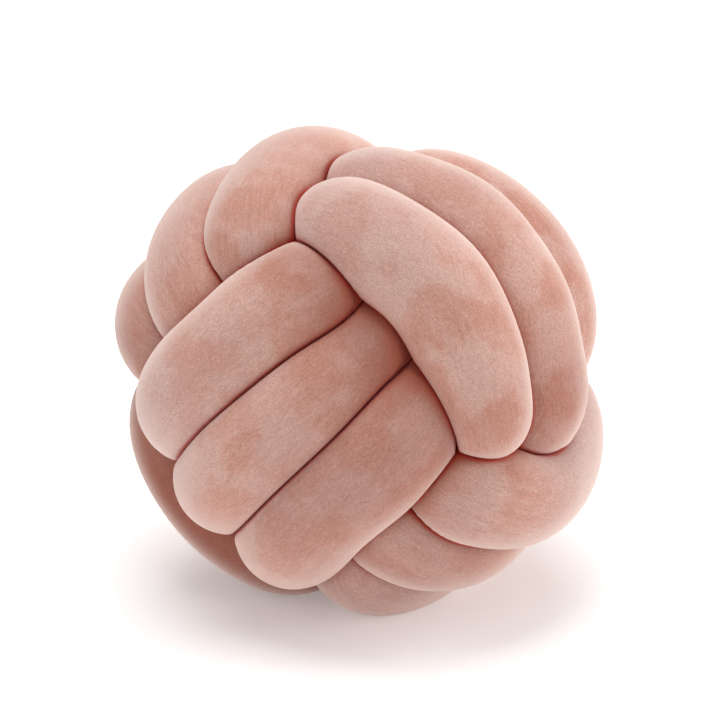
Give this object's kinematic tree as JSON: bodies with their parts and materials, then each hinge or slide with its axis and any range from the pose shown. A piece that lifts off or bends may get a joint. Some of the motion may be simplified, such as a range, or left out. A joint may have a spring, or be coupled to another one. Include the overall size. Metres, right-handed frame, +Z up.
{
  "type": "knot ball cushion",
  "caption": "Round decorative cushion: one long stuffed velvet tube tied into a ball-shaped knot, for a sofa, bed or chair.",
  "frame": {"origin": "centre of the bounding box in X and Y, on the surface the ball rests on", "axes": "+Z up; -Y towards the face of the knot whose three level passes run across it, which looks slightly down; that face's passes climb towards +X"},
  "size_m": [0.2736, 0.2636, 0.254],
  "materials": {
    "plush": "dusty pink short-pile plush velvet, matt with a soft pale sheen"
  },
  "bodies": {
    "root": {"knot_tube": "plush"}
  },
  "joints": []
}
